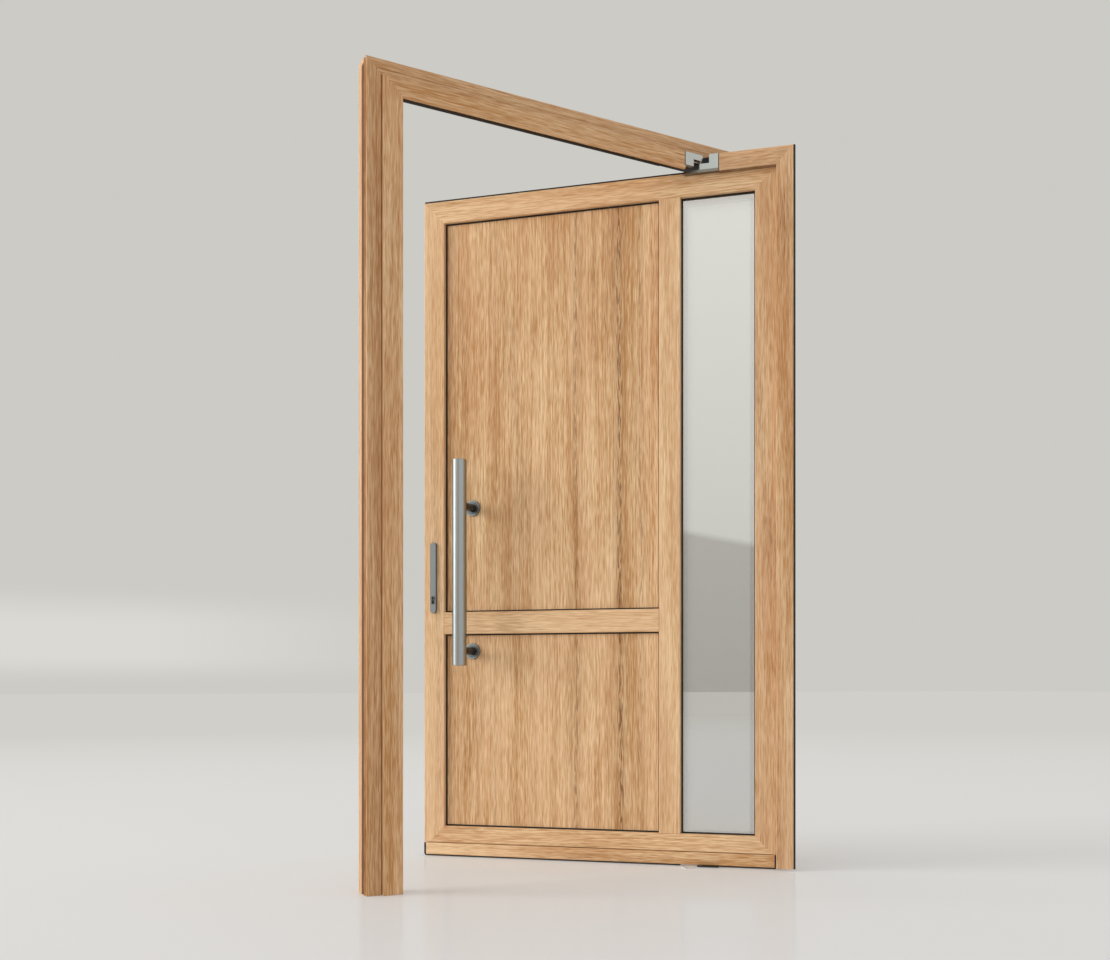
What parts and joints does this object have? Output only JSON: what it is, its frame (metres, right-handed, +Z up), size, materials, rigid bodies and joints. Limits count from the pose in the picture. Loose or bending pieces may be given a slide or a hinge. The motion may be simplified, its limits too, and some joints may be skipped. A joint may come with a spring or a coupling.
{
  "type": "pivot door",
  "caption": "Off-centre pivot door in a mitred oak-foil frame: panelled leaf with a glass sidelight, long pull bar, lock plate and stop flanges split at the pivot.",
  "frame": {"origin": "on the floor under the pivot axis, at the underside of the floor pivot plate", "axes": "+X along the frame to the right seen from the pull side with the flush stop, +Y through the doorway away from that viewer, +Z up"},
  "size_m": [1.464, 0.997, 2.4],
  "materials": {
    "oak_foil": "oak woodgrain foil, satin",
    "black_seal": "matt",
    "clear_glass": "clear double glazing",
    "grey_cap": "moulded grey, matt",
    "dark_fitting": "dark coated",
    "steel_fitting": "plain steel",
    "satin_steel": "satin stainless"
  },
  "bodies": {
    "fixed_frame": {"left_jamb": "oak_foil", "right_jamb": "oak_foil", "head": "oak_foil", "left_front_stop": "oak_foil", "head_front_stop": "oak_foil", "left_stop_seal": "black_seal", "head_stop_seal": "black_seal", "right_rear_stop": "oak_foil", "head_rear_stop": "oak_foil", "right_rear_seal": "black_seal", "head_rear_seal": "black_seal", "fixed_pivot_cap": "grey_cap", "top_pivot_pin": "steel_fitting", "floor_pivot_plate": "steel_fitting", "floor_pivot_pin": "steel_fitting"},
    "pivot_leaf": {"bottom_pivot_shoe": "dark_fitting", "bottom_rail": "oak_foil", "bottom_seal": "black_seal", "bottom_strip": "oak_foil", "cover_edge_seal": "black_seal", "front_cylinder": "satin_steel", "front_lock_plate": "satin_steel", "front_pull_bar": "satin_steel", "front_pull_posts": "satin_steel", "glass_pane": "clear_glass", "glass_pane_beads": "oak_foil", "glass_pane_gasket": "black_seal", "leaf_pivot_base": "dark_fitting", "leaf_pivot_cap": "grey_cap", "lock_stile": "oak_foil", "lower_panel": "oak_foil", "lower_panel_beads": "oak_foil", "lower_panel_gasket": "black_seal", "mid_rail": "oak_foil", "mullion": "oak_foil", "pivot_bearing": "dark_fitting", "pivot_stile": "oak_foil", "rear_cylinder": "satin_steel", "rear_lock_plate": "satin_steel", "rear_pull_bar": "satin_steel", "rear_pull_posts": "satin_steel", "side_cover_flange": "oak_foil", "top_cover_flange": "oak_foil", "top_rail": "oak_foil", "top_seal": "black_seal", "upper_panel": "oak_foil", "upper_panel_beads": "oak_foil", "upper_panel_gasket": "black_seal"}
  },
  "joints": [
    {"name": "leaf_pivot", "type": "hinge", "parent": "fixed_frame", "child": "pivot_leaf", "pos_m": [0, 0, 0], "axis": [0, 0, -1], "range_deg": [-45, 45]}
  ]
}
